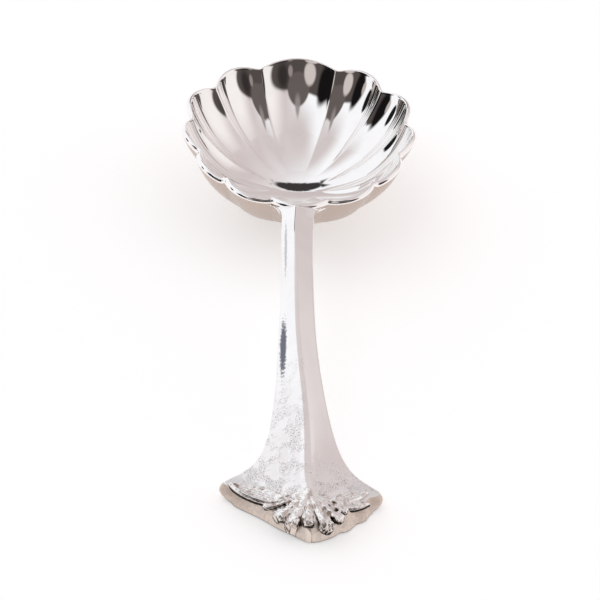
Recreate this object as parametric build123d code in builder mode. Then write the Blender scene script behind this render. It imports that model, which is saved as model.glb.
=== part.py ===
"""A sugar spoon: a fluted shell bowl, soldered to a keeled handle whose fan-shaped end
carries a cast palmette between two long leaves.

The origin is on the table, under the centre of the bowl. +Y runs out over the bowl's
front petal, the handle runs along -Y, and +Z is up. Lengths are in millimetres.
"""

import os
from math import acos, asin, cos, radians, sin, sqrt

from build123d import *

# ---------------------------------------------------------------- driving dimensions
# Bowl
bowl_radius = 22.2  # sphere that the ridges between the flutes lie on, inside
bowl_wall = 1.2
bowl_stretch = 1.1  # the rim is this much longer than it is wide
front_fullness = 0.13  # how much fuller the rim is ahead of its middle than behind it
flute_count = 12
flute_depth = 1.45  # how far a flute stands out past its ridges
front_petal_angle = 42.0  # the front petal is wider, and the rest share what is left
smooth_centre = 5.0  # radius of the plain middle of the bowl
bowl_flat = 3.0  # radius of the flat that the bowl stands on
petal_height = 16.3  # top of a petal above the table
petal_round = 7.9  # radius of a petal's rounded edge
front_petal_round = 12.0
uncut_height = 8.0  # below this the rim's scallops don't reach

# Stem and fan
handle_reach = 97.4  # from the bowl's centre to the handle's tip, along the table
fan_point = 9.1  # how far the tip lies beyond the two ears of the fan
ear_half_width = 13.4
ear_round = 0.9
end_bulge = 1.1  # how far the end edge bows out between an ear and the tip
stem_half_width = 2.9
stem_thickness = 1.7  # at the stem's side edges, where it joins the bowl
fan_thickness = 3.2
stem_keel = 1.35  # height of the keel above the side edges, at the bowl
fan_keel = 1.9
tip_keel = 1.0
crest_half_width = 0.35  # the narrow flat along the keel
facet_hollow = 0.4  # how far each facet is hollowed between keel and ear
roof_overrun = 1.5  # how far the facets are drawn past the ears, to be cut to the outline
lip_above_petal = 0.5  # how far the keel stands above the petal that it joins

# Shoulders, heel and solder
shoulder_half_width = 6.8
shoulder_length = 3.6
shoulder_thickness = 1.6
heel_half_width = 2.3
heel_depth = 8.5  # how far down the bowl's outside the heel reaches
heel_thickness = 1.3
solder_gap = 0.12
solder_margin = 0.45  # the seam shows this wide round the joint

# Palmette and leaves
palmette_back = 7.2  # the palmette springs this far short of the tip
lobe_count = 7
lobe_spread = 20.0  # angle between neighbouring lobes
lobe_length = 8.7
lobe_root = 0.45  # radius of a lobe where it springs from under the keel
lobe_radius = 1.2
lobe_belly = 0.8  # how far along a lobe its thickest place is
lobe_end = 0.55  # radius of its blunt end
lobe_fall = 8.0  # angle at which the lobes droop
leaf_relief = 0.7
leaf_rim = 0.55
leaf_recess = 0.4
leaf_bow = 1.35  # how far each side of a leaf bows out from its middle line

# ---------------------------------------------------------------- bowl
outer_radius = bowl_radius + bowl_wall
centre_height = sqrt(outer_radius**2 - bowl_flat**2)
narrow_angle = (360 - front_petal_angle) / (flute_count - 1)
ridge_angles = [front_petal_angle / 2 + narrow_angle * k for k in range(flute_count)]
blank_edge = 0.98 * bowl_radius  # ridge radius of the pressed blank, before its rim is cut
station_shares = [0, 0.165, 0.33, 0.5, 0.66, 0.8, 0.91, 1]
fade_share = 0.45  # the flutes have their full depth from here out to the rim
least_depth = 0.02  # at the smooth middle the flutes are all but gone


def around(angle, radius, share):
    """A point in the bowl's plan, at an angle from the middle of the front petal. The
    plan is a circle at the smooth middle, share 0, and grows long and full to the rim."""
    across = sin(radians(angle))
    along = cos(radians(angle))
    fullness = 1 + front_fullness * share * along * across**2
    stretch = 1 + (bowl_stretch - 1) * share
    return (radius * across * fullness, radius * along * stretch)


def fluted_outline(radius, depth, share):
    """An arc for each flute, from ridge to ridge, bulging outward by its depth."""
    for index, start in enumerate(ridge_angles):
        wraps = index + 1 == flute_count
        end = ridge_angles[0] + 360 if wraps else ridge_angles[index + 1]
        ThreePointArc(
            around(start, radius, share),
            around((start + end) / 2, radius + depth, share),
            around(end, radius, share),
        )


def bowl_form(growth):
    """The fluted form inside the bowl, or the same form grown outward all round."""
    sphere = bowl_radius + growth
    with BuildPart() as form:
        for share in station_shares:
            ridge = smooth_centre + (blank_edge - smooth_centre) * share
            radius = ridge * sphere / bowl_radius
            height = centre_height - sqrt(sphere**2 - radius**2)
            depth = flute_depth * min(1, share / fade_share) + least_depth
            with BuildSketch(Plane.XY.offset(height)):
                with BuildLine():
                    fluted_outline(radius, depth, share)
                make_face()
        loft()
        # the plain middle is a cap of the same sphere
        cap_radius = smooth_centre * sphere / bowl_radius
        cap_height = centre_height - sqrt(sphere**2 - cap_radius**2)
        halfway = asin(cap_radius / sphere) / 2
        with BuildSketch(Plane.XZ):
            with BuildLine():
                Line((0, centre_height - sphere), (0, cap_height))
                Line((0, cap_height), (cap_radius, cap_height))
                ThreePointArc(
                    (cap_radius, cap_height),
                    (sphere * sin(halfway), centre_height - sphere * cos(halfway)),
                    (0, centre_height - sphere),
                )
            make_face()
        revolve(axis=Axis.Z)
        # the flat that it stands on
        with Locations((0, 0, -outer_radius)):
            Box(
                4 * outer_radius,
                4 * outer_radius,
                2 * outer_radius,
                mode=Mode.SUBTRACT,
            )
    return form.part


inside = bowl_form(0)
outside = bowl_form(bowl_wall)

petal_reach = sqrt(bowl_radius**2 - (centre_height - petal_height) ** 2) + flute_depth

with BuildPart() as rim_trim:
    # what is left of the blank once its rim is cut: all of it low down, and a disc
    # for each petal, cut square to the wall
    with Locations((0, 0, uncut_height / 2)):
        Box(4 * outer_radius, 4 * outer_radius, uncut_height)
    for k in range(flute_count):
        rounding = front_petal_round if k == 0 else petal_round
        middle = 0 if k == 0 else ridge_angles[k - 1] + narrow_angle / 2
        tip = Vector(*around(middle, petal_reach, 1), petal_height - centre_height)
        lean = acos(-tip.Z / tip.length) - asin(rounding / tip.length)
        outward = Vector(tip.X, tip.Y).normalized() * sin(lean)
        ray = Plane((0, 0, centre_height), z_dir=outward - Vector(0, 0, cos(lean)))
        with BuildSketch(ray.offset(bowl_radius / 2)):
            Circle(rounding)
        extrude(amount=bowl_radius)

with BuildPart() as bowl:
    add(outside)
    add(inside, mode=Mode.SUBTRACT)
    add(rim_trim.part, mode=Mode.INTERSECT)
bowl.part.label = "bowl"

# ---------------------------------------------------------------- keel and facets
join = bowl_radius * bowl_stretch + bowl_wall  # table distance to the bowl's back
ears = handle_reach - fan_point
keel_at_join = petal_height + lip_above_petal
underside_at_join = keel_at_join - stem_keel - stem_thickness
roof_half_width = ear_half_width + roof_overrun
sky = 2 * keel_at_join
fall_start, fall_finish = 1.8, 1.2  # powers that shape the underside's fall to the table
early_part, early_power, late_power = 0.45, 3.2, 16  # and the sides' spread to the ears


def along(share):
    """Distance along Y: share 0 is where the handle meets the bowl, 1 is the ears."""
    return -(join + (ears - join) * share)


def between(stem_value, fan_value, share):
    """A size that changes steadily from the bowl to the ears."""
    return stem_value + (fan_value - stem_value) * min(1, max(0, share))


def fall_left(share):
    """How much of the underside's height is left: 1 at the bowl, 0 at the ears."""
    return (1 - min(1, max(0, share)) ** fall_start) ** fall_finish


def opening(share):
    """How far the sides have spread: 0 on the stem, 1 at the ears, late and fast."""
    share = max(0, share)
    return early_part * share**early_power + (1 - early_part) * share**late_power


handle_start = -0.12  # the handle is made into the bowl and cut back to it
roof_steps = 8
outline_steps = 5
outline_start, outline_stop = 0.25, 0.95  # the side is straight before, the ear comes after
tip_edge = -handle_reach - ear_round


def roof_section(y, edge, keel, half_width):
    """A keel with a facet falling from it each side, which meets the edge's height at
    the edge's half width and runs on past it."""
    fall = keel * (roof_half_width - crest_half_width) / (half_width - crest_half_width)
    crest = edge + keel
    eaves = (roof_half_width, crest - fall)
    hollow = (roof_half_width / 2, crest - fall / 2 - facet_hollow)
    with BuildSketch(Plane((0, y, 0), x_dir=(1, 0, 0), z_dir=(0, -1, 0))) as section:
        with BuildLine():
            ThreePointArc((crest_half_width, crest), hollow, eaves)
            Line(eaves, (roof_half_width, -sky))
            mirror(about=Plane.YZ)
            Line((-crest_half_width, crest), (crest_half_width, crest))
            Line((-roof_half_width, -sky), (roof_half_width, -sky))
        make_face()
    return section.sketch


roof_sections = []
for step in range(roof_steps + 1):
    way = handle_start + (1 - handle_start) * step / roof_steps
    roof_sections.append(
        roof_section(
            along(way),
            underside_at_join * fall_left(way) + between(stem_thickness, fan_thickness, way),
            between(stem_keel, fan_keel, way),
            between(stem_half_width, ear_half_width, opening(way)),
        )
    )
roof_sections.append(
    roof_section((along(1) + tip_edge) / 2, fan_thickness, (fan_keel + tip_keel) / 2, ear_half_width)
)
roof_sections.append(roof_section(tip_edge, fan_thickness, tip_keel, ear_half_width))

with BuildPart() as roof:
    loft(roof_sections)

# ---------------------------------------------------------------- shoulders and heel
seat = bowl_form(bowl_wall + solder_gap)
edge_at_join = keel_at_join - stem_keel


def back_of_bowl(height):
    """Distance behind the centre of the bowl's outside, in the middle petal."""
    radius = sqrt(outer_radius**2 - (centre_height - height) ** 2)
    return radius * (1 + (bowl_stretch - 1) * radius / outer_radius) + flute_depth


with BuildPart() as shoulders:
    # from above, a curve from each side of the stem out to the ends of its petal
    with BuildSketch():
        with BuildLine():
            root = (stem_half_width, -join - shoulder_length)
            end = (shoulder_half_width, -join + 2 * shoulder_thickness)
            Line((0, root[1]), root)
            Spline(root, end, tangents=[(0, 1), (1, 0.25)])
            Line(end, (0, end[1]))
            Line((0, end[1]), (0, root[1]))
        make_face()
        mirror(about=Plane.YZ)
    extrude(amount=sky)
    # from behind, they thin and fall away to each side
    with BuildSketch(Plane.XZ):
        with BuildLine():
            fall = shoulder_thickness / 2
            Polyline(
                (0, edge_at_join),
                (stem_half_width, edge_at_join),
                (shoulder_half_width, edge_at_join - fall),
                (shoulder_half_width, edge_at_join - shoulder_thickness),
                (stem_half_width, edge_at_join - shoulder_thickness),
                (0, edge_at_join - shoulder_thickness),
                close=True,
            )
        make_face()
        mirror(about=Plane.YZ)
    extrude(amount=2 * join, mode=Mode.INTERSECT)

with BuildPart() as heel:
    # from the side, it runs from the stem's underside down the back of the bowl
    with BuildSketch(Plane.YZ):
        with BuildLine():
            low = petal_height - heel_depth
            middle = low + heel_depth / 2
            top = (-join - 2 * heel_thickness, underside_at_join + stem_thickness / 2)
            foot = (-back_of_bowl(low), low)
            ThreePointArc(top, (-back_of_bowl(middle) - heel_thickness, middle), foot)
            Line(foot, (foot[0] + heel_depth, low))
            Line((foot[0] + heel_depth, low), (foot[0] + heel_depth, top[1]))
            Line((foot[0] + heel_depth, top[1]), top)
        make_face()
    extrude(amount=heel_half_width, both=True)
    # from behind, it ends in a half round
    with BuildSketch(Plane.XZ):
        with Locations((0, petal_height - heel_depth + heel_half_width)):
            Circle(heel_half_width)
            Rectangle(
                2 * heel_half_width, 2 * heel_depth, align=(Align.CENTER, Align.MIN)
            )
    extrude(amount=2 * join, mode=Mode.INTERSECT)

with BuildPart() as handle:
    # the outline from above
    with BuildSketch():
        with BuildLine():
            side = []
            for step in range(outline_steps):
                way = outline_start + (outline_stop - outline_start) * step / (outline_steps - 1)
                side.append((between(stem_half_width, ear_half_width, opening(way)), along(way)))
            ear_top = (ear_half_width - ear_round, along(1))
            ear_tip = (ear_half_width, along(1) - ear_round)
            ear_foot = (ear_half_width - ear_round / 2, along(1) - 2 * ear_round)
            start = (stem_half_width, along(handle_start))
            Line((0, start[1]), start)
            Line(start, side[0])
            Spline(*side, ear_top, tangents=[(0, -1), (1, -0.4)])
            ThreePointArc(ear_top, ear_tip, ear_foot)
            middle = ((ear_foot[0] + end_bulge) / 2, (ear_foot[1] - handle_reach - end_bulge) / 2)
            ThreePointArc(ear_foot, middle, (0, -handle_reach))
            Line((0, -handle_reach), (0, start[1]))
        make_face()
        mirror(about=Plane.YZ)
    extrude(amount=sky)
    # the underside, from the side
    with BuildSketch(Plane.YZ):
        with BuildLine():
            belly = []
            for step in range(roof_steps + 1):
                way = handle_start + (1 - handle_start) * step / roof_steps
                belly.append((along(way), underside_at_join * fall_left(way)))
            Spline(*belly, tangents=[(-1, 0), (-1, 0)])
            Polyline(belly[-1], (tip_edge, 0), (tip_edge, sky), (belly[0][0], sky), belly[0])
        make_face()
    extrude(amount=roof_half_width, both=True, mode=Mode.INTERSECT)
    add(roof.part, mode=Mode.INTERSECT)
    add(shoulders.part)
    add(heel.part)
    add(seat, mode=Mode.SUBTRACT)
handle.part.label = "handle"

# ---------------------------------------------------------------- solder seam
with BuildPart() as bowl_solder:
    # the joint's footprint seen from behind, with a little showing all round
    with BuildSketch(Plane.XZ):
        with BuildLine():
            low = petal_height - heel_depth + heel_half_width
            Polyline(
                (0, low),
                (heel_half_width, low),
                (heel_half_width, underside_at_join),
                (stem_half_width, underside_at_join),
                (stem_half_width, edge_at_join - shoulder_thickness),
                (shoulder_half_width, edge_at_join - shoulder_thickness),
                (shoulder_half_width, keel_at_join),
                (0, keel_at_join),
                close=True,
            )
        make_face()
        with Locations((0, low)):
            Circle(heel_half_width)
        mirror(about=Plane.YZ)
        offset(amount=solder_margin, kind=Kind.INTERSECTION)
    extrude(amount=2 * join)
    add(seat, mode=Mode.INTERSECT)
    add(outside, mode=Mode.SUBTRACT)
    add(rim_trim.part, mode=Mode.INTERSECT)
bowl_solder.part.label = "bowl_solder"

# ---------------------------------------------------------------- end ornament
spring = (0, palmette_back - handle_reach)
leaf_ends = (
    (ear_half_width - 2 * ear_round, along(1) - ear_round / 2),
    (2 * lobe_radius, spring[1] - lobe_radius),
)


def leaf_outline(rim):
    """An almond between the leaf's ends, drawn in all round by the rim."""
    outer = Vector(*leaf_ends[0])
    inner = Vector(*leaf_ends[1])
    line = (inner - outer).normalized()
    outer = outer + line * rim * 2
    inner = inner - line * rim * 2
    middle = (outer + inner) / 2
    out = Vector(-line.Y, line.X) * (leaf_bow - rim)
    ThreePointArc(outer, middle + out, inner)
    ThreePointArc(inner, middle - out, outer)


with BuildPart() as leaf_hollows:
    with BuildSketch():
        with BuildLine():
            leaf_outline(leaf_rim)
        make_face()
        mirror(about=Plane.YZ)
    extrude(amount=sky)
    with Locations((0, 0, leaf_relief - leaf_recess)):
        add(roof.part, mode=Mode.SUBTRACT)

with BuildPart() as leaves:
    with BuildSketch(Plane.XY.offset(fan_thickness / 2)):
        with BuildLine():
            leaf_outline(0)
        make_face()
        mirror(about=Plane.YZ)
    extrude(amount=sky)
    with Locations((0, 0, leaf_relief)):
        add(roof.part, mode=Mode.INTERSECT)
    add(leaf_hollows.part, mode=Mode.SUBTRACT)
    add(handle.part, mode=Mode.SUBTRACT)

with BuildPart() as lobe:
    with BuildSketch(Plane.XZ):
        with BuildLine():
            Polyline(
                (0, 0),
                (0, -lobe_root),
                (lobe_belly * lobe_length, -lobe_radius),
                (lobe_length, -lobe_end),
                (lobe_length, 0),
                close=True,
            )
        make_face()
    revolve(axis=Axis.X)

seated_lobes = []
spring_height = fan_thickness + fan_keel - lobe_root
droop = Location((0, 0, 0), (0, lobe_fall, 0))
for k in range(lobe_count):
    turn = (k - (lobe_count - 1) / 2) * lobe_spread - 90
    with BuildPart() as seated_lobe:
        with Locations(Location((*spring, spring_height), (0, 0, turn)) * droop):
            add(lobe.part)
        add(handle.part, mode=Mode.SUBTRACT)
    seated_lobes.append(seated_lobe.part)

with BuildPart() as end_ornament:
    add(leaves.part)
    add(seated_lobes)
end_ornament.part.label = "end_ornament"

os.makedirs("parts", exist_ok=True)
for piece in (bowl, bowl_solder, handle, end_ornament):
    export_step(piece.part, f"parts/{piece.part.label}.step")
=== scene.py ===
"""The sugar spoon's looks: a fine mesh of each piece, silver finishes, floor, light, camera.

Sizes are in millimetres, in the part's own frame, and become metres when a mesh is made.
"""

from math import asin, copysign, cos, pi, radians, sin, sqrt

import bpy
import numpy as np
from mathutils import Matrix, Vector


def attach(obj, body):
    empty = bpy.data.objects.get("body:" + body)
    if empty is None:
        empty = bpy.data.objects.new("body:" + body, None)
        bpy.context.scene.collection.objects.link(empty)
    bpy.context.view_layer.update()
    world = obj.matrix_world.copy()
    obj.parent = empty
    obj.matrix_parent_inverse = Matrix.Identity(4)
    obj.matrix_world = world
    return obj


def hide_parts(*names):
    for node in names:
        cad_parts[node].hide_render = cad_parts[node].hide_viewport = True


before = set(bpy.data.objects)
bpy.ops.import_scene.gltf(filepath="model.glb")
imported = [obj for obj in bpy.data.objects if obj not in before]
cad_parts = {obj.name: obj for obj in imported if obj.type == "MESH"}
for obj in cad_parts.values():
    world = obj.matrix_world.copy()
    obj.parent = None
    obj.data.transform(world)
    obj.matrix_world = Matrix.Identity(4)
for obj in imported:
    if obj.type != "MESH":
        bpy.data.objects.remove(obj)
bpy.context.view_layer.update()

MM = 0.001

# ---------------------------------------------------------------- sizes, as in the solids
bowl_radius = 22.2  # of the sphere that the ridges between the flutes lie on, inside
bowl_wall = 1.2
bowl_stretch = 1.1  # the bowl's length over its width
front_fullness = 0.13  # how much fuller the front half is than the back
flute_count = 12
flute_depth = 1.45
front_petal_angle = radians(42.0)
smooth_centre = 5.0  # radius of the plain middle
bowl_flat = 3.0  # radius of the flat that the bowl stands on
petal_height = 16.3
petal_round = 7.9
front_petal_round = 12.0

handle_reach = 97.4
fan_point = 9.1  # how far the fan's tip lies past its ears
ear_half_width = 13.4
ear_round = 0.9
stem_half_width = 2.9
stem_thickness = 1.7
fan_thickness = 3.2
stem_keel = 1.35
fan_keel = 1.9
tip_keel = 1.0
crest_half_width = 0.35
lip_above_petal = 0.5

outer_radius = bowl_radius + bowl_wall
centre_height = sqrt(outer_radius**2 - bowl_flat**2)
narrow_angle = (2 * pi - front_petal_angle) / (flute_count - 1)
blank_edge = 0.98 * bowl_radius  # ridge radius of the blank, before its rim is cut
fade_share = 0.45  # share of the way out over which the flutes reach their depth
petal_reach = sqrt(bowl_radius**2 - (centre_height - petal_height) ** 2) + flute_depth

join = bowl_radius * bowl_stretch + bowl_wall
ears = handle_reach - fan_point
keel_at_join = petal_height + lip_above_petal
underside_at_join = keel_at_join - stem_keel - stem_thickness


# ---------------------------------------------------------------- mesh helpers
def smooth_max(a, b, blend):
    """The larger of two values, with the change from one to the other rounded."""
    return (a + b) / 2 + np.sqrt((a - b) ** 2 + blend**2) / 2


def ramp(value, start, stop):
    """0 before start, 1 after stop, and a smooth change between."""
    share = np.clip((value - start) / (stop - start), 0, 1)
    return share * share * (3 - 2 * share)


def make_mesh(name, points, faces):
    """A mesh object from points in millimetres."""
    mesh = bpy.data.meshes.new(name)
    mesh.from_pydata([tuple(p) for p in np.asarray(points) * MM], [], faces)
    mesh.validate()
    mesh.shade_smooth()
    made = bpy.data.objects.new(name, mesh)
    bpy.context.scene.collection.objects.link(made)
    return made


def grid_faces(rows, columns, wrap_columns):
    """Quads over a grid of points stored row by row."""
    faces = []
    last = columns if wrap_columns else columns - 1
    for i in range(rows - 1):
        for j in range(last):
            k = (j + 1) % columns
            a = i * columns
            faces.append((a + j, a + k, a + columns + k, a + columns + j))
    return faces


# ---------------------------------------------------------------- bowl
# Rounding of the ridges. Outside, it grows toward the bottom, where the belly is smooth.
ridge_round_inside, ridge_round_outside, belly_round = 0.34, 0.3, 2.6
belly_from, belly_to = 14, 20.5  # ridge radii
least_depth = 0.02  # of a flute, so that its arc never becomes straight
notch_round = 0.25  # rounding of the rim between two petals
lip_round = 0.42  # rounding of the rim's two edges


def petal_middle(index):
    """Angle of a petal's middle, from the middle of the front petal."""
    place = index % flute_count
    return 0.0 if place == 0 else front_petal_angle / 2 + narrow_angle * (place - 0.5)


def petal_half(index):
    return (front_petal_angle if index % flute_count == 0 else narrow_angle) / 2


def arc_reach(offset, half, ridge, depth):
    """Reach, at an angle from its petal's middle, of the arc between two ridges."""
    reach = ridge + depth
    centre = (reach**2 - ridge**2) / (2 * (reach - ridge * np.cos(half)))
    radius = reach - centre
    return centre * np.cos(offset) + np.sqrt(
        np.maximum(radius**2 - (centre * np.sin(offset)) ** 2, 0.01)
    )


def bowl_point(index, offset, ridge, growth):
    """Points of the fluted form: ridge is their ridge radius inside the bowl, offset the
    angle from the middle of their petal, and growth how far the form is grown."""
    sphere = bowl_radius + growth
    scaled = ridge * sphere / bowl_radius
    share = np.clip((ridge - smooth_centre) / (blank_edge - smooth_centre), 0, 1)
    depth = flute_depth * np.minimum(1, share / fade_share) + least_depth
    side = 1 if np.mean(offset) >= 0 else -1
    own = arc_reach(offset, petal_half(index), scaled, depth)
    step = petal_half(index) + petal_half(index + side)
    beside = arc_reach(offset - side * step, petal_half(index + side), scaled, depth)
    crest = ridge_round_inside
    if growth:
        crest = ridge_round_outside + belly_round * (1 - ramp(ridge, belly_from, belly_to))
    crest = crest * np.minimum(1, share / fade_share)
    reach = smooth_max(own, beside, crest)
    angle = petal_middle(index) + offset
    across, along = np.sin(angle), np.cos(angle)
    x = reach * across * (1 + front_fullness * share * along * across**2)
    y = reach * along * (1 + (bowl_stretch - 1) * share)
    z = centre_height - np.sqrt(sphere**2 - scaled**2)
    return np.stack([x + 0 * z, y + 0 * z, np.maximum(z, 0) + 0 * x], -1)


def rim_disc(index):
    """Axis and radius of the cylinder that rounds a petal's edge, through the centre."""
    angle = petal_middle(index)
    across, along = sin(angle), cos(angle)
    tip = Vector(
        (
            petal_reach * across * (1 + front_fullness * along * across**2),
            petal_reach * along * bowl_stretch,
            petal_height - centre_height,
        )
    )
    rounding = front_petal_round if index % flute_count == 0 else petal_round
    lean = np.arccos(-tip.z / tip.length) - asin(rounding / tip.length)
    outward = Vector((tip.x, tip.y, 0)).normalized() * sin(lean)
    return np.array([outward.x, outward.y, -cos(lean)]), rounding


def rim_ridge(index, offset, growth, disc):
    """Ridge radius at which the rim cuts a column of the form, for one petal's disc."""
    below_any_rim, halvings = 15.5, 30
    axis, rounding = rim_disc(disc)
    low, high = np.full(offset.shape, below_any_rim), np.full(offset.shape, blank_edge)
    for _ in range(halvings):
        middle = (low + high) / 2
        point = bowl_point(index, offset, middle, growth)
        point = point - np.array([0, 0, centre_height])
        across = (point**2).sum(-1) - (point @ axis) ** 2
        inside = across < rounding**2
        low = np.where(inside, middle, low)
        high = np.where(inside, high, middle)
    return low


def bowl_column_rim(index, offset, growth):
    """Ridge radius of the rim, with the notch between two petals rounded."""
    side = 1 if np.mean(offset) >= 0 else -1
    own = rim_ridge(index, offset, growth, index)
    beside = rim_ridge(index, offset, growth, index + side)
    return smooth_max(own, beside, notch_round)


def lip_rows(inside, corner_in, corner_out, outside, count):
    """Rows of points round the rim, on a curve drawn by the corners of its two edges."""
    rows = []
    for t in np.linspace(0, 1, count + 2)[1:-1]:
        rows.append(
            inside * (1 - t) ** 3
            + 3 * corner_in * t * (1 - t) ** 2
            + 3 * corner_out * t**2 * (1 - t)
            + outside * t**3
        )
    return np.array(rows)


def half_petal(index, side):
    """Points over half a petal, in rows from the bowl's middle up the inside, round the rim
    and down the outside, and in columns that are closer together at the ridge."""
    column_count, inner_rows, outer_rows, rim_rows = 26, 150, 60, 9
    steps = np.sin(np.linspace(0, pi / 2, column_count + 1))
    steps = steps[:-1] if side == 1 else steps[:0:-1]
    offset = side * steps * petal_half(index)
    if side == 1:
        offset[0] = 1e-5
    surfaces, corners = [], []
    for rows, growth in ((inner_rows, 0), (outer_rows, bowl_wall)):
        rim = bowl_column_rim(index, offset, growth)
        stop = rim - lip_round * 0.45
        shares = np.linspace(0.012, 1, rows) ** 0.9
        surfaces.append(np.array([bowl_point(index, offset, stop * s, growth) for s in shares]))
        corners.append(bowl_point(index, offset, rim, growth))
    inside, outside = surfaces
    lip = lip_rows(inside[-1], *corners, outside[-1], rim_rows)
    return np.concatenate([inside, lip, outside[::-1]])


def make_bowl():
    halves = [half_petal(index, side) for index in range(flute_count) for side in (-1, 1)]
    points = np.concatenate(halves, axis=1)
    rows, count = points.shape[:2]
    faces = grid_faces(rows, count, True)
    flat = points.reshape(-1, 3)
    bottom_in, bottom_out = len(flat), len(flat) + 1
    flat = np.vstack([flat, [0, 0, centre_height - bowl_radius], [0, 0, 0]])
    last = (rows - 1) * count
    for j in range(count):
        k = (j + 1) % count
        faces.append((bottom_in, k, j))
        faces.append((bottom_out, last + j, last + k))
    return make_mesh("fluted_bowl", flat, faces)


# ---------------------------------------------------------------- handle
edge_radius = 0.3  # rounding of the handle's edges
end_slope, end_curve = 0.2954, 0.02072  # of the fan's end in plan, away from its tip
end_lean = 1.0  # how far the end face leans out from its top edge to its foot
rim_back = 25.6  # the outside of the bowl's rim, where the handle meets it
rim_back_curve = 2.3 / 5.6**2
rim_top = 15.85  # height of that rim at the handle's middle
shoulder_half_width = 6.0
shoulder_fall = 0.8
shoulder_length = 3.4  # from the join back along the stem
shoulder_flare = 7.4  # length over which the shoulders would reach their full width


def share_along(y):
    """How far along the handle a place is, from 0 at the join to 1 at the ears."""
    return (-y - join) / (ears - join)


def opening(y):
    """How far the sides have opened from the stem, at 0, to the ears, at 1."""
    share = np.maximum(share_along(y), 0)
    return 0.45 * share**3.2 + 0.55 * share**16


def underside(y):
    share = np.clip(share_along(y), 0, 1)
    return underside_at_join * (1 - share**1.8) ** 1.2


def half_width(y):
    sides = stem_half_width + (ear_half_width - stem_half_width) * opening(y)
    sides = -smooth_max(-sides, -ear_half_width + 0 * sides, 0.8)
    # the ears' corners are rounded, and the stem is a little wider at its top
    sides = sides - 0.5 * np.clip((-y - ears - 0.7) / 0.7, 0, 1) ** 2
    sides = sides + 0.2 * (1 - ramp(-y, join + 2, join + 16))
    flare = np.clip((y + join + shoulder_length) / shoulder_flare, 0, 1) ** 2.2
    return sides + (shoulder_half_width - stem_half_width) * flare


def end_edge(x):
    """The fan's end: wavy on the right, a little short on the left and long at its tip."""
    tip_round = 0.5
    aside = np.sqrt(x**2 + tip_round**2)
    waves = 0.24 * np.sin(1.9 * x - 0.6) * ramp(x, 2.5, 5.0) * (1 - ramp(x, 11.5, 13))
    left_short = 0.3 * ramp(-x, 4, 7) * (1 - ramp(-x, 8, 11))
    tip_long = 0.75 * np.exp(-(((x - 1.2) / 2.8) ** 2))
    regular = -handle_reach + end_slope * aside + end_curve * x**2
    return regular + waves + (left_short - tip_long)


def keel_line(y):
    """How far the keel wanders to the right of the handle's middle."""
    left = 0.35 * (1 - ramp(-y, 44, 62))
    right = 0.95 * ramp(-y, 55, 80) * (1 - ramp(-y, 90, handle_reach))
    return right - left


def start_edge(x):
    """Where the handle's top starts: inside the rim, and farther in at the shoulders' tips."""
    overlap, tip_overlap = 0.45, 1.5
    return -rim_back + rim_back_curve * x**2 + overlap + tip_overlap * ramp(np.abs(x), 3.2, 6.0)


def handle_top(x, y):
    """Height of the handle's top: a flat crest, a facet on each side, and the shoulders."""
    share = np.clip(share_along(y), 0, 1)
    past = np.clip((-y - ears) / (handle_reach + ear_round - ears), 0, 1)
    keel = stem_keel + (fan_keel - stem_keel) * share + (tip_keel - fan_keel) * past
    thick = stem_thickness + (fan_thickness - stem_thickness) * share
    crest = underside(y) + thick + keel
    sides = stem_half_width + (ear_half_width - stem_half_width) * np.minimum(opening(y), 1)
    flat = crest_half_width * (0.55 + 0.9 * share)
    aside = x - keel_line(y)
    room = sides - np.sign(aside) * keel_line(y)
    across = np.abs(aside) - flat
    across = (across + np.sqrt(across**2 + 0.03**2)) / 2
    # a cove beside the keel, then the facet
    cove, hollow = 0.08 * ramp(share, 0.45, 0.9), 1.6
    reach = np.clip(across / (ear_half_width + 1.5), 0, 1)
    facet = keel * across / (room - flat) + hollow * reach * (1 - reach)
    facet = facet + cove * ramp(across, 0, 0.9) * (1 - ramp(across / sides, 0.2, 0.7))
    # the crest leans to the right, most at the stem's top
    tilt = 0.2 + 0.22 * (1 - ramp(-y, 30, 45))
    top = crest - facet - tilt * np.clip(aside, -flat, flat)
    shoulder = crest - keel - shoulder_fall * (np.abs(x) - stem_half_width) / (
        shoulder_half_width - stem_half_width
    )
    near = ramp(y, -join - 5.0, -join - 2.5)
    top = top + near * (smooth_max(top, shoulder, 0.25) - top)
    # the handle runs out flush with the outer edge of the bowl's rim
    rim = rim_top - 1.05 * (petal_round - np.sqrt(petal_round**2 - np.minimum(np.abs(x), 7) ** 2))
    reach = 1.4 + 1.6 * ramp(np.abs(x), 1, 4)
    flush = ramp(y - start_edge(x), -reach, -0.1)
    return top + flush * (rim - top) - 0.12 * ramp(y, -join - 9, -join - 3)


def bend(points):
    """The real handle isn't quite straight: it bows to one side and its end is turned."""
    stem_shift, join_shift, fan_shift, end_shift = -0.35, 0.25, 0.8, 1.3
    end_turn, ears_back = radians(3.2), 0.8
    x, y = points[..., 0].copy(), points[..., 1].copy()
    shift = stem_shift - join_shift * ramp(-y, join, join + 8) + fan_shift * ramp(-y, 55, 82)
    shift = (shift + end_shift * ramp(-y, 85, handle_reach)) * (1 - 0.8 * ramp(-x, 7, 13))
    turn = end_turn * ramp(-y, 72, 90)
    back = ears_back * ramp(np.abs(x), 5, 12) * ramp(-y, 78, 88)
    points[..., 0] = x + shift
    points[..., 1] = y - turn * x + back
    return points


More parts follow.
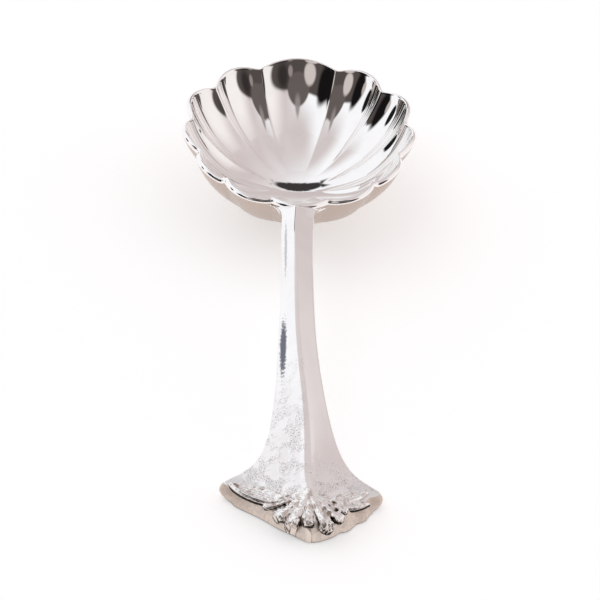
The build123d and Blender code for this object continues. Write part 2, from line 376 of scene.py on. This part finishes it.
def handle_plan(row_count):
    """Places in plan of the top's points, in rows along the handle. The crest and the two
    facets have columns of their own, so that the crest's edges are lines of the mesh."""
    crest_columns, facet_columns = 5, 44
    crest = np.linspace(0, 1, crest_columns)
    facet = np.linspace(0, 1, facet_columns + 1)[1:] ** 1.25
    half = [(c, 0.0) for c in crest] + [(1.0, f) for f in facet]
    columns = [(-1, c, f) for c, f in half[:0:-1]] + [(1, c, f) for c, f in half]
    sign, on_crest, on_facet = (np.array(v)[None, :] for v in zip(*columns))

    def spread(width, middle=0.0):
        flat = crest_half_width * 1.2
        return sign * (on_crest * flat + on_facet * (width - sign * middle - flat)) + middle

    start, stop = -join + 0.9, -handle_reach
    way = np.linspace(0, 1, row_count)[:, None]
    way = way - 0.05 * np.sin(2 * pi * way)
    base = start + (stop - start) * way
    first = start_edge(spread(shoulder_half_width - edge_radius))
    last = end_edge(spread(ear_half_width - edge_radius)) + 1.15 * edge_radius + end_lean
    y = base + (first - start) * (1 - ramp(-base, join - 0.9, join + 8))
    y = y + (last - stop) * ramp(-base, 70, handle_reach)
    return spread(half_width(y) - edge_radius, keel_line(y)), y


def boundary(rows, columns):
    """Indices of the points round the edge of a grid."""
    last_row = (rows - 1) * columns
    loop = list(range(columns))
    loop += [i * columns + columns - 1 for i in range(1, rows)]
    loop += [last_row + j for j in range(columns - 2, -1, -1)]
    loop += [i * columns for i in range(rows - 2, 0, -1)]
    return loop


def outward(plan):
    """Directions out of a closed line in plan, smoothed along it."""
    ahead = np.roll(plan, -1, 0) - np.roll(plan, 1, 0)
    out = np.stack([-ahead[:, 1], ahead[:, 0]], -1)
    out = out / np.linalg.norm(out, axis=1)[:, None]
    for _ in range(3):
        out = out + np.roll(out, 1, 0) + np.roll(out, -1, 0)
        out = out / np.linalg.norm(out, axis=1)[:, None]
    return out


def side_rings(plan, out, height):
    """How far out and how high the rings of the handle's sides lie, from the top down."""
    low = underside(plan[:, 1])
    at_end = ramp(-out[:, 1], 0.3, 0.8) * (plan[:, 1] < -ears + 2)
    # the ears' sides bulge instead of leaning
    at_ear = ramp(np.abs(plan[:, 0]), 10.5, 12.3) * ramp(-plan[:, 1], ears - 4, ears - 1)
    bulge = (0.5 + 0.25 * (plan[:, 0] < 0)) * at_ear
    lean = end_lean * at_end * (1 - 0.75 * at_ear)
    rings = []
    for angle in np.radians((18, 36, 54, 72, 90)):
        away = edge_radius * sin(angle) + 0 * low
        rings.append((away, height - edge_radius * (1 - cos(angle))))
    for part in (0.15, 0.3, 0.45, 0.6, 0.75, 0.9):
        away = edge_radius + lean * sin(pi / 2 * part) + bulge * sin(pi * part)
        rings.append((away, height - edge_radius + (low + 2 * edge_radius - height) * part))
    for angle in np.radians((90, 60, 30, 0)):
        away = edge_radius * sin(angle) + lean
        rings.append((away, low + edge_radius * (1 - cos(angle))))
    return rings


def make_handle():
    row_count = 420
    x, y = handle_plan(row_count)
    top = handle_top(x, y)
    count = x.shape[1]
    loop = boundary(row_count, count)
    plan = np.stack([x.ravel(), y.ravel()], -1)[loop]
    out = outward(plan)
    points = [np.stack([x.ravel(), y.ravel(), top.ravel()], -1)]
    faces = [face[::-1] for face in grid_faces(row_count, count, False)]
    before, used = loop, count * row_count
    for away, z in side_rings(plan, out, top.ravel()[loop]):
        points.append(np.column_stack([plan + out * away[:, None], z]))
        now = list(range(used, used + len(loop)))
        used += len(loop)
        for j in range(len(loop)):
            k = (j + 1) % len(loop)
            faces.append((before[j], before[k], now[k], now[j]))
        before = now
    # the underside has the top's plan, and its edge is the last ring
    inner = np.stack([x.ravel(), y.ravel(), underside(y).ravel()], -1)
    places = dict(zip(loop, before))
    kept = [n for n in range(count * row_count) if n not in places]
    for n in kept:
        places[n] = used
        used += 1
    points.append(inner[kept])
    for face in grid_faces(row_count, count, False):
        faces.append(tuple(places[n] for n in face))
    points = np.concatenate(points)
    # the underside leans in toward the bowl, as the bowl's back does
    depth = np.clip((handle_top(points[:, 0], points[:, 1]) - points[:, 2]) / 3, 0, 1)
    points[:, 1] += 1.3 * depth * np.clip((points[:, 1] + join + shoulder_length) / 5, 0, 1)
    return make_mesh("keeled_handle", bend(points), faces)


def make_heel():
    """The drop that runs from the stem's underside down the back of the bowl."""
    rows, columns = 60, 41
    heel_half_width, heel_depth, heel_thickness = 2.3, 8.5, 1.3
    round_from = 0.62  # share of the way down where the drop's round end starts
    high, low = underside_at_join + 0.6, petal_height - heel_depth
    points = []
    for way in np.linspace(0, 1, rows):
        z = high - (high - low) * way
        back = sqrt(outer_radius**2 - (centre_height - z) ** 2)
        back = back * (1 + (bowl_stretch - 1) * back / outer_radius) + flute_depth
        thick = heel_thickness * (1 - way**2.5) * (0.6 + 0.9 * (1 - way) ** 3)
        past = max(way - round_from, 0) / (1 - round_from)
        wide = heel_half_width * sqrt(max(1 - past**2, 0.0004))
        for turn in np.linspace(0, pi, columns):
            x = wide * cos(turn)
            points.append((x, -back - thick * sin(turn) ** 0.8 + 0.5 + 0.05 * x * x, z))
    return make_mesh("heel_drop", points, grid_faces(rows, columns, False))


def make_solder():
    """A fine bead of solder in the corner under the shoulders."""
    rows, columns, bead = 49, 12, 0.36
    half_length, bead_back, drop = 5.0, 24.9, 0.05
    points = []
    for x in np.linspace(-half_length, half_length, rows):
        size = bead * sqrt(1 - (x / (half_length + 0.3)) ** 2)
        for j in range(columns):
            turn = 2 * pi * j / columns
            y = -bead_back + rim_back_curve * x**2 + size * cos(turn)
            points.append((x, y, underside_at_join - drop + size * sin(turn)))
    faces = grid_faces(rows, columns, True)
    faces += [tuple(range(columns))[::-1], tuple(range((rows - 1) * columns, rows * columns))]
    return make_mesh("solder_bead", points, faces)


# ---------------------------------------------------------------- end ornament
# Modelled as a solid whose surface is where a field of distances is zero.
spring = (0.45, -91.0, 4.75)  # where the palmette's lobes start
middle_lobe = -6
# angle from the tip's direction, length, root radius, end radius, flattening, droop, curl
palmette_lobes = (
    (middle_lobe, 6.7, 0.45, 0.95, 1.0, 10, 0.03),
    (-31, 7.8, 0.5, 1.25, 0.95, 9, 0.15),
    (22, 7.6, 0.5, 1.4, 0.9, 9, 0.10),
    (-51, 8.1, 0.45, 1.3, 0.85, 9, 0.05),
    (47, 7.2, 0.45, 1.1, 0.85, 9, 0.03),
    (66, 7.0, 0.4, 0.75, 0.8, 9, 0.0),
    (-70, 8.6, 0.4, 0.7, 0.8, 8, 0.0),
    (-87, 4.2, 0.4, 0.7, 0.8, 5, 0.0),
    (80, 5.2, 0.4, 0.6, 0.8, 7, 0.0),
    (98, 3.2, 0.35, 0.65, 0.8, 4, 0.0),
)
# outer end, inner end, bow toward the stem and toward the end, relief of the rim, veins
leaves = (
    ((-12.5, -88.9), (-2.6, -92.3), 1.7, 2.4, 0.68, 0.03),
    ((11.3, -88.9), (3.6, -92.1), 1.5, 1.1, 0.42, 0.05),
    ((11.0, -91.6), (3.4, -92.6), 1.2, 1.1, 0.45, 0.04),
)
leaf_rim = 0.62
# the end of the middle lobe, cut off flush with the end face
cut_lobe_middle, cut_lobe_radius, cut_lobe_top = -0.95, 1.35, 3.15
nub_middle, nub_radius, nub_long, nub_flat = (0.6, -90.6, 4.5), 0.85, 1.6, 0.9
lobe_limit = 98.75  # no lobe reaches farther out, as in the solids


def roughness(x, y, z, size):
    """A fixed, cast-looking unevenness between -1 and 1."""
    total = 0
    for k in range(7):
        a, b, c = sin(1.7 * k + 0.3), cos(2.3 * k + 1.1), sin(3.1 * k + 2.0)
        total = total + np.sin((a * x + b * y + c * z) * (1.3 + 0.35 * k) / size + 1.9 * k)
    return total / 7


def lobe_field(x, y, z, angle, length, root, end, flat, droop, curl):
    """Distance to a tapered lobe that radiates from the spring point, grooved on top."""
    turn = radians(angle)
    out = (x - spring[0]) * sin(turn) - (y - spring[1]) * cos(turn)
    across = (x - spring[0]) * cos(turn) + (y - spring[1]) * sin(turn)
    curl_from = 4.6
    curled = np.clip(out - curl_from, 0, 4)
    up = z - spring[2] + out * sin(radians(droop)) + curl * curled**2
    up = up / np.sqrt(1 + (2 * curl * curled) ** 2)
    reach = length - end * 0.75
    way = np.clip(out / reach, 0, 1)
    radius = root + (end - root) * way**1.3
    past = out - way * reach
    # the end is blunt: more square than round
    past = np.where(out > reach, past * 1.7, past)
    far = np.sqrt(past**2 + across**2 + (up / flat) ** 2)
    veins = 0.035 * np.cos(2 * pi * across / 0.62 + 0.8 * np.sin(1.7 * out)) * ramp(way, 0.15, 0.5)
    aside = across - 0.25 * end * np.sign(angle)
    groove = 0.42 * np.exp(-((aside / (0.5 * end)) ** 2))
    groove = groove * ramp(up, -0.3, 0.3) * ramp(way, 0.3, 0.8)
    cut = 0 if angle == middle_lobe else veins + groove
    return (far - radius + cut) * flat * 0.9


def leaf_field(x, y, z, top, outer, inner, bow_in, bow_out, relief, vein):
    """Distance to a hollowed leaf with a raised rim, lying on the fan."""
    outer, inner = np.array(outer), np.array(inner)
    middle, half = (outer + inner) / 2, np.linalg.norm(outer - inner) / 2
    line = (inner - outer) / (2 * half)
    along = (x - middle[0]) * line[0] + (y - middle[1]) * line[1]
    across = -(x - middle[0]) * line[1] + (y - middle[1]) * line[0]
    across = across * np.sign(line[0])
    bow = np.where(across > 0, bow_in, bow_out)
    radius = (half**2 + bow**2) / (2 * bow)
    inside = radius - np.sqrt(along**2 + (np.abs(across) + radius - bow) ** 2)
    rim = np.exp(-(((inside - leaf_rim * 0.7) / (leaf_rim * 0.62)) ** 2))
    rim = rim * (1 - 0.45 * ramp(across, -0.2, 0.6))
    bed = ramp(inside, leaf_rim * 0.7, leaf_rim * 1.6)
    veins = vein * np.cos(2 * pi * across / 0.5 + 0.25 * np.sin(2.1 * along))
    fill = 0.12 + veins + 0.07 * roughness(x, y, z, 0.3)
    raised = relief * rim + fill * bed
    leaf = smooth_max((z - top - raised) * 0.8, -inside, 0.06)
    return np.maximum(leaf, top - 0.5 - z)


def surface_of(field, corner, step):
    """Points and quads of the surface where a field on a grid changes sign."""
    inside = field < 0
    shape = np.array(field.shape) - 1
    corners = [(i, j, k) for i in (0, 1) for j in (0, 1) for k in (0, 1)]

    def shifted(grid, offset):
        return grid[tuple(slice(o, o + n) for o, n in zip(offset, shape))]

    count = sum(shifted(inside, c).astype(np.int8) for c in corners)
    crossed = (count > 0) & (count < 8)
    number = np.full(crossed.shape, -1)
    number[crossed] = np.arange(crossed.sum())
    cells = np.argwhere(crossed)
    total, hits = np.zeros((len(cells), 3)), np.zeros(len(cells))
    values = {c: shifted(field, c)[crossed] for c in corners}
    for a in corners:
        for axis in range(3):
            if a[axis]:
                continue
            b = tuple(v + (n == axis) for n, v in enumerate(a))
            change = (values[a] < 0) != (values[b] < 0)
            gap = np.where(change, values[a] - values[b], 1)
            way = np.where(change, values[a] / gap, 0)
            place = np.array(a, float)[None, :].repeat(len(cells), 0)
            place[:, axis] += way
            total += place * change[:, None]
            hits += change
    points = corner + (cells + total / hits[:, None]) * step
    faces = []
    for axis in range(3):
        one, two = (axis + 1) % 3, (axis + 2) % 3
        here = [slice(None)] * 3
        there = [slice(None)] * 3
        here[axis], there[axis] = slice(None, -1), slice(1, None)
        low, high = inside[tuple(here)], inside[tuple(there)]
        for change, turned in ((low & ~high, False), (~low & high, True)):
            at = np.argwhere(change)
            at = at[(at[:, one] > 0) & (at[:, two] > 0)]
            at = at[(at[:, one] < shape[one]) & (at[:, two] < shape[two])]
            quad = []
            for p, q in ((0, 0), (1, 0), (1, 1), (0, 1)):
                cell = at.copy()
                cell[:, one] -= p
                cell[:, two] -= q
                quad.append(number[tuple(cell.T)])
            if turned:
                quad.reverse()
            faces += [tuple(f) for f in np.stack(quad, -1).tolist()]
    return points, faces


def make_ornament():
    step = 0.09
    corner, size = np.array([-13.2, -99.4, 0.0]), (26.4, 12.5, 6.0)
    axes = [corner[n] + step * np.arange(int(size[n] / step)) for n in range(3)]
    x, y, z = np.meshgrid(*axes, indexing="ij")
    top = handle_top(x[:, :, :1], y[:, :, :1])

    def join_to(field, piece, blend):
        return -smooth_max(-field, -piece, blend)

    field = np.full(x.shape, 9.0)
    for lobe in palmette_lobes:
        field = join_to(field, lobe_field(x, y, z, *lobe), 0.10)
    for leaf in leaves:
        field = join_to(field, leaf_field(x, y, z, top, *leaf), 0.08)
    across, along, up = (place - middle for place, middle in zip((x, y, z), nub_middle))
    nub = np.sqrt(across**2 + (along / nub_long) ** 2 + (up / nub_flat) ** 2) - nub_radius
    field = join_to(field, nub, 0.25)
    rough = roughness(x, y, z, 0.42) * (0.15 - 0.11 * ramp(np.abs(x), 4.5, 6.5))
    field = field + rough * ramp(-y, 90.5, 92)
    # the middle lobe's cut end is an arch that runs down to the foot
    above = np.clip(z - cut_lobe_top + cut_lobe_radius, 0, 9)
    across = np.sqrt((x - cut_lobe_middle) ** 2 + above**2)
    arch = np.maximum(0.15 - z, end_edge(x) - 0.12 + 0.13 * z - y)
    arch = np.maximum(across - cut_lobe_radius, arch)
    arch = smooth_max(arch, y + 94.5, 0.1)
    field = join_to(field, arch, 0.05)
    field = smooth_max(field, -lobe_limit - y, 0.1)
    # what lies well inside the fan isn't needed
    field = np.maximum(field, np.where(y > end_edge(x) + end_lean + 0.9, top - 0.5 - z, -9))
    points, faces = surface_of(field, corner, step)
    return make_mesh("palmette_and_leaves", bend(points), faces)


# ---------------------------------------------------------------- materials
class Nodes:
    """Short ways to add nodes to a tree and join them."""

    def __init__(self, tree):
        self.tree = tree

    def new(self, kind, **settings):
        node = self.tree.nodes.new(kind)
        for key, value in settings.items():
            setattr(node, key, value)
        return node

    def feed(self, socket, value):
        if isinstance(value, bpy.types.NodeSocket):
            self.tree.links.new(value, socket)
        elif isinstance(value, tuple) and len(value) == 3 and socket.type == "RGBA":
            socket.default_value = (*value, 1)
        else:
            socket.default_value = value

    def math(self, operation, *values):
        node = self.new("ShaderNodeMath", operation=operation)
        for socket, value in zip(node.inputs, values):
            self.feed(socket, value)
        return node.outputs[0]

    def add(self, first, second):
        return self.math("ADD", first, second)

    def times(self, first, second):
        return self.math("MULTIPLY", first, second)

    def length(self, first, second):
        squares = self.add(self.times(first, first), self.times(second, second))
        return self.math("SQRT", squares)

    def map(self, value, start, stop, low=0.0, high=1.0, smooth=True):
        """Low before start, high after stop."""
        kind = "SMOOTHSTEP" if smooth else "LINEAR"
        node = self.new("ShaderNodeMapRange", interpolation_type=kind)
        for socket, given in zip(node.inputs, (value, start, stop, low, high)):
            self.feed(socket, given)
        return node.outputs[0]

    def mix(self, factor, first, second):
        node = self.new("ShaderNodeMix", data_type="RGBA")
        self.feed(node.inputs["Factor"], factor)
        self.feed(node.inputs["A"], first)
        self.feed(node.inputs["B"], second)
        return node.outputs["Result"]

    def noise(self, vector, scale, detail=2.0, roughness=0.5):
        node = self.new("ShaderNodeTexNoise")
        self.feed(node.inputs["Vector"], vector)
        self.feed(node.inputs["Scale"], scale)
        self.feed(node.inputs["Detail"], detail)
        self.feed(node.inputs["Roughness"], roughness)
        return node.outputs["Fac"]

    def split(self, vector):
        """The vector's x, y and z."""
        node = self.new("ShaderNodeSeparateXYZ")
        self.feed(node.inputs[0], vector)
        return node.outputs

    def normal(self):
        return self.split(self.new("ShaderNodeNewGeometry").outputs["Normal"])

    def openness(self, distance):
        """1 on open surfaces, and less in corners and recesses."""
        node = self.new("ShaderNodeAmbientOcclusion", samples=8)
        node.inputs["Distance"].default_value = distance
        return node.outputs["AO"]

    def bump(self, shader, height, strength, distance):
        node = self.new("ShaderNodeBump")
        node.inputs["Strength"].default_value = strength
        node.inputs["Distance"].default_value = distance
        self.feed(node.inputs["Height"], height)
        self.feed(shader.inputs["Normal"], node.outputs["Normal"])


def node_material(name):
    """A new material, its nodes and its shader."""
    material = bpy.data.materials.new(name)
    material.use_nodes = True
    return material, Nodes(material.node_tree), material.node_tree.nodes["Principled BSDF"]


silver_colour = (0.96, 0.945, 0.935)
belly_painted_shade_colour = (0.60, 0.50, 0.44)  # painted shade: darker beige where the outside faces down, for the shaded floor that it reflects
brushed_colour = (0.84, 0.735, 0.66)
speckle_colour = (0.50, 0.475, 0.48)
# painted reflection: the dark of the streaks along the stem's left edge
painted_reflection_streak_colour = (0.075, 0.09, 0.125)
# brown: patina in the hollows and patches, and painted shade on the ornament's steep sides
patina_and_painted_shade_colour = (0.50, 0.40, 0.33)
tarnish_and_painted_shade_colour = (0.012, 0.009, 0.008)  # near black: tarnish left in the recesses, and painted shade under overhangs and beneath the ornament


def shaded(colour, factor):
    return tuple(c * factor for c in colour)


def silver(name, roughness, spread=0.3):
    """Polished silver, slightly uneven: its material, nodes, shader, place, colour and
    roughness."""
    material, n, shader = node_material(name)
    shader.inputs["Metallic"].default_value = 1.0
    place = n.new("ShaderNodeTexCoord").outputs["Object"]
    cloud = n.noise(place, 260.0, 4.0)
    tint = n.mix(n.map(cloud, 0.3, 0.8), silver_colour, shaded(silver_colour, 0.96))
    rough = n.map(cloud, 0.2, 0.8, roughness * (1 - spread), roughness * (1 + spread))
    return material, n, shader, place, tint, rough


def bowl_silver():
    """Polished inside; where the outside faces down it is rougher, and its colour is darkened to
    beige as painted shade.
    """
    material, n, shader, place, tint, rough = silver("bowl_silver", 0.035)
    # painted shade: the colour turns darker beige where the outside faces down; the roughness
    # rises there too
    outside = n.map(n.normal()["Z"], 0.05, -0.25)
    n.feed(shader.inputs["Base Color"], n.mix(outside, tint, belly_painted_shade_colour))
    n.feed(shader.inputs["Roughness"], n.math("MAXIMUM", rough, n.times(outside, 0.3)))
    n.bump(shader, n.noise(place, 60.0, 1.0), 0.2, 0.0002)
    return material


# Painted dark reflections along the stem's left edge, in millimetres: x at either end, middle and
# half length along the stem, half width, strength.
painted_reflection_streaks = (
    (-3.0, -3.2, -60.8, 6.4, 0.62, 0.9),
    (-2.7, -2.75, -37.5, 7.5, 0.26, 0.4),
)


def handle_silver():
    """Polished along the stem, cast and speckled toward the fan, brushed on its end."""
    material, n, shader, place, tint, rough = silver("handle_silver", 0.09)
    x, y, _ = n.split(place)

    def toward_end(start, stop):
        """0 before one place along the handle and 1 after another, in millimetres."""
        return n.map(y, -start * MM, -stop * MM)

    end_face = n.times(n.map(n.normal()["Z"], 0.86, 0.62), toward_end(83.5, 85.5))
    left = n.map(x, 1.2 * MM, 0.2 * MM)
    cast = n.math("MAXIMUM", n.times(left, toward_end(56, 78)), toward_end(79.5, 88.5))
    patches = n.map(n.noise(place, 420.0, 2.0), 0.42, 0.62)
    pits = n.times(n.times(n.noise(place, 3600.0, 3.0, 0.6), patches), cast)
    # upright strokes of the brush, on the end face
    drawn_out = n.new("ShaderNodeVectorMath", operation="MULTIPLY")
    n.feed(drawn_out.inputs[0], place)
    drawn_out.inputs[1].default_value = (1.0, 1.0, 0.06)
    stroke = n.noise(drawn_out.outputs[0], 5600.0, 3.0, 0.6)
    n.bump(shader, n.add(pits, n.times(stroke, end_face)), 0.9, 0.00012)

    specks = n.map(n.noise(place, 5200.0, 2.0), 0.50, 0.66)
    colour = n.mix(n.times(n.times(specks, patches), cast), tint, speckle_colour)
    uneven = n.map(n.noise(place, 2600.0, 3.0), 0.3, 0.7, -0.2, 0.2)
    # painted reflection: dark streaks along the stem's left edge, standing in for a dark object
    # reflected there
    for first, last, middle, long, wide, strength in painted_reflection_streaks:
        path = n.map(y, (middle + long) * MM, (middle - long) * MM, first * MM, last * MM, False)
        aside = n.math("DIVIDE", n.math("SUBTRACT", x, path), wide * MM)
        along = n.math("DIVIDE", n.math("SUBTRACT", y, middle * MM), long * MM)
        streak = n.map(n.add(n.length(aside, along), uneven), 1.1, 0.6, 0.0, strength)
        colour = n.mix(streak, colour, painted_reflection_streak_colour)
    brushed = n.mix(
        n.map(stroke, 0.38, 0.62), shaded(brushed_colour, 0.90), shaded(brushed_colour, 1.05)
    )
    colour = n.mix(end_face, colour, brushed)
    # painted shadow: the end face turns near black where the ornament's lobes and leaves overhang
    # it
    painted_shadow_under_ornament = n.times(n.map(n.openness(1.1 * MM), 0.72, 0.42), toward_end(86.5, 88))
    n.feed(shader.inputs["Base Color"], n.mix(painted_shadow_under_ornament, colour, tarnish_and_painted_shade_colour))

    ear = n.times(n.map(n.math("ABSOLUTE", x), 7 * MM, 11 * MM), toward_end(81.5, 84.5))
    for where, duller in ((end_face, 0.28), (cast, 0.10), (ear, 0.22)):
        rough = n.add(rough, n.times(where, duller))
    n.feed(shader.inputs["Roughness"], rough)
    return material


def ornament_silver():
    """Cast silver with patina and tarnish in its recesses, brown painted shade on its steep sides
    and near-black painted shade on faces that look down.
    """
    material, n, shader, place, tint, rough = silver("ornament_silver", 0.16)
    x, y, z = n.split(place)
    normal = n.normal()
    openness = n.openness(0.9 * MM)
    hollow = n.map(openness, 0.90, 0.55)
    patina = n.map(n.noise(place, 900.0, 2.0), 0.50, 0.64, 0.0, 0.6)
    # painted shade: steep sides are tinted brown
    steep = n.map(normal["Z"], 0.55, 0.25, 0.0, 0.8)
    brown = n.math("MAXIMUM", n.math("MAXIMUM", hollow, patina), steep)
    # the middle lobe's cut end is brushed as the end face is
    cut = n.times(n.map(normal["Y"], -0.7, -0.92), n.map(y, -95.5 * MM, -96.5 * MM))
    cut = n.times(cut, n.map(z, 3.3 * MM, 2.9 * MM))
    cut = n.times(cut, n.map(x, 2.4 * MM, 1.9 * MM))
    # painted shade: faces that look down turn near black; the deepest recesses turn near black as
    # tarnish and painted shade
    below = n.times(n.map(normal["Z"], 0.32, 0.08), n.math("SUBTRACT", 1.0, cut))
    dark = n.math("MAXIMUM", n.map(openness, 0.40, 0.15), below)
    colour = n.mix(cut, n.mix(brown, tint, patina_and_painted_shade_colour), brushed_colour)
    n.feed(shader.inputs["Base Color"], n.mix(dark, colour, tarnish_and_painted_shade_colour))
    rough = n.add(n.add(rough, n.times(cut, 0.25)), n.times(hollow, 0.3))
    n.feed(shader.inputs["Roughness"], rough)
    n.bump(shader, n.noise(place, 3600.0, 3.0, 0.6), 0.5, 0.00008)
    return material


# ---------------------------------------------------------------- camera
def set_camera():
    """The camera that was fitted to the photo. Lengths are in metres."""
    elevation, azimuth, roll = radians(39.67), radians(-1.96), radians(-2.48)
    distance, target = 0.400, Vector((0, -0.040, 0.005))
    photo_width, focal_pixels, shift_pixels = 600, 2142.28, (1.24, -0.61)
    back = Vector((sin(azimuth) * cos(elevation), -cos(azimuth) * cos(elevation), sin(elevation)))
    right = Vector((cos(azimuth), sin(azimuth), 0))
    up = back.cross(right)
    rolled_right = right * cos(roll) - up * sin(roll)
    rolled_up = right * sin(roll) + up * cos(roll)
    data = bpy.data.cameras.new("camera")
    data.sensor_width = 36
    data.lens = focal_pixels / photo_width * data.sensor_width
    data.shift_x, data.shift_y = (pixels / photo_width for pixels in shift_pixels)
    camera = bpy.data.objects.new("camera", data)
    bpy.context.scene.collection.objects.link(camera)
    turn = Matrix((rolled_right, rolled_up, back)).transposed()
    camera.matrix_world = Matrix.Translation(target + back * distance) @ turn.to_4x4()
    bpy.context.scene.camera = camera


# ---------------------------------------------------------------- surroundings
# What the silver reflects. Azimuth is in degrees from straight behind the handle's end
# (-Y), positive to the right, and elevation is above the table.
studio_left = (0.99, 1.0, 1.03)
studio_right = (0.66, 0.59, 0.585)
studio_top = (0.66, 0.60, 0.60)
studio_right_low = (0.95, 0.91, 0.91)
# azimuth, elevation, half width, half height, softness, colour, strength
studio_shapes = (
    (85, 20, 38, 30, 0.6, studio_right_low, 1.0),
    (-8, 21, 71, 25, 0.06, (0.085, 0.072, 0.068), 1.0),
    (0, 44, 31, 17, 0.10, (0.13, 0.11, 0.105), 1.0),
    (2, 60, 10, 10, 0.5, (0.30, 0.27, 0.26), 0.9),
    (-63, 24, 14, 19, 0.25, (0.008, 0.007, 0.007), 1.0),
    (37, 26, 12, 13, 0.5, (0.03, 0.025, 0.025), 0.9),
    (-26, 26, 13, 12, 0.2, (0.62, 0.56, 0.54), 1.0),
    (19, 25, 5, 6, 0.35, (0.30, 0.26, 0.25), 1.0),
    (-101, 13, 8, 9, 0.15, (0.01, 0.01, 0.01), 1.0),
    (-76, 16, 5, 6, 0.3, (0.50, 0.45, 0.43), 1.0),
    (180, 38, 19, 7, 0.15, (0.045, 0.04, 0.04), 1.0),
)


def set_world():
    world = bpy.data.worlds.new("world")
    bpy.context.scene.world = world
    world.use_nodes = True
    n = Nodes(world.node_tree)
    x, y, z = n.split(n.new("ShaderNodeTexCoord").outputs["Generated"])
    in_degrees = 180 / pi
    from_handle = n.times(n.math("ARCTAN2", x, n.times(y, -1.0)), in_degrees)
    from_bowl = n.times(n.math("ARCTAN2", x, y), in_degrees)
    height = n.times(n.math("ARCSINE", z), in_degrees)
    colour = n.mix(n.map(x, -0.25, 0.55), studio_left, studio_right)
    colour = n.mix(n.map(height, 45.0, 80.0), colour, studio_top)
    for azimuth, elevation, wide, high, soft, tint, strength in studio_shapes:
        # past 120 degrees the angle is taken from the bowl's side, where it has no jump
        if abs(azimuth) > 120:
            aside = n.math("SUBTRACT", from_bowl, copysign(180, azimuth) - azimuth)
        else:
            aside = n.math("SUBTRACT", from_handle, float(azimuth))
        above = n.math("SUBTRACT", height, float(elevation))
        reach = n.length(
            n.math("DIVIDE", aside, float(wide)), n.math("DIVIDE", above, float(high))
        )
        inside = n.map(reach, 1 + soft, 1 - soft)
        colour = n.mix(n.times(inside, strength), colour, tint)
    background = world.node_tree.nodes["Background"]
    n.feed(background.inputs["Color"], colour)
    background.inputs["Strength"].default_value = 1.0


def make_floor():
    half_size, drop = 3000, 0.02
    corners = [
        (x * half_size, y * half_size, -drop) for x, y in ((-1, -1), (1, -1), (1, 1), (-1, 1))
    ]
    floor = make_mesh("floor", corners, [(0, 1, 2, 3)])
    material, n, shader = node_material("white_floor")
    shader.inputs["Base Color"].default_value = (0.8, 0.8, 0.8, 1)
    shader.inputs["Roughness"].default_value = 0.9
    shader.inputs["Specular IOR Level"].default_value = 0.0
    # the floor shows white to the camera and in the metal, and lights nothing
    shader.inputs["Emission Color"].default_value = (1, 1, 1, 1)
    path = n.new("ShaderNodeLightPath").outputs
    seen = n.add(path["Is Camera Ray"], path["Is Glossy Ray"])
    seen = n.add(seen, path["Is Transmission Ray"])
    n.feed(shader.inputs["Emission Strength"], n.times(seen, 0.5))
    floor.data.materials.append(material)


# ---------------------------------------------------------------- the scene
bowl_finish, handle_finish, ornament_finish = bowl_silver(), handle_silver(), ornament_silver()
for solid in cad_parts.values():
    for slot in solid.material_slots:
        slot.material = bowl_finish

# each piece with its finish, its slot and the solid that it takes the place of
for piece, finish, slot, node in (
    (make_bowl(), bowl_finish, "bowl", "bowl"),
    (make_handle(), handle_finish, "handle", "handle"),
    (make_heel(), handle_finish, "handle", None),
    (make_solder(), handle_finish, "solder", "bowl_solder"),
    (make_ornament(), ornament_finish, "ornament", "end_ornament"),
):
    piece.data.materials.append(finish)
    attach(piece, "root")
    if node:
        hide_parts(node)

set_world()
make_floor()
set_camera()
bpy.context.scene.view_settings.view_transform = "Standard"
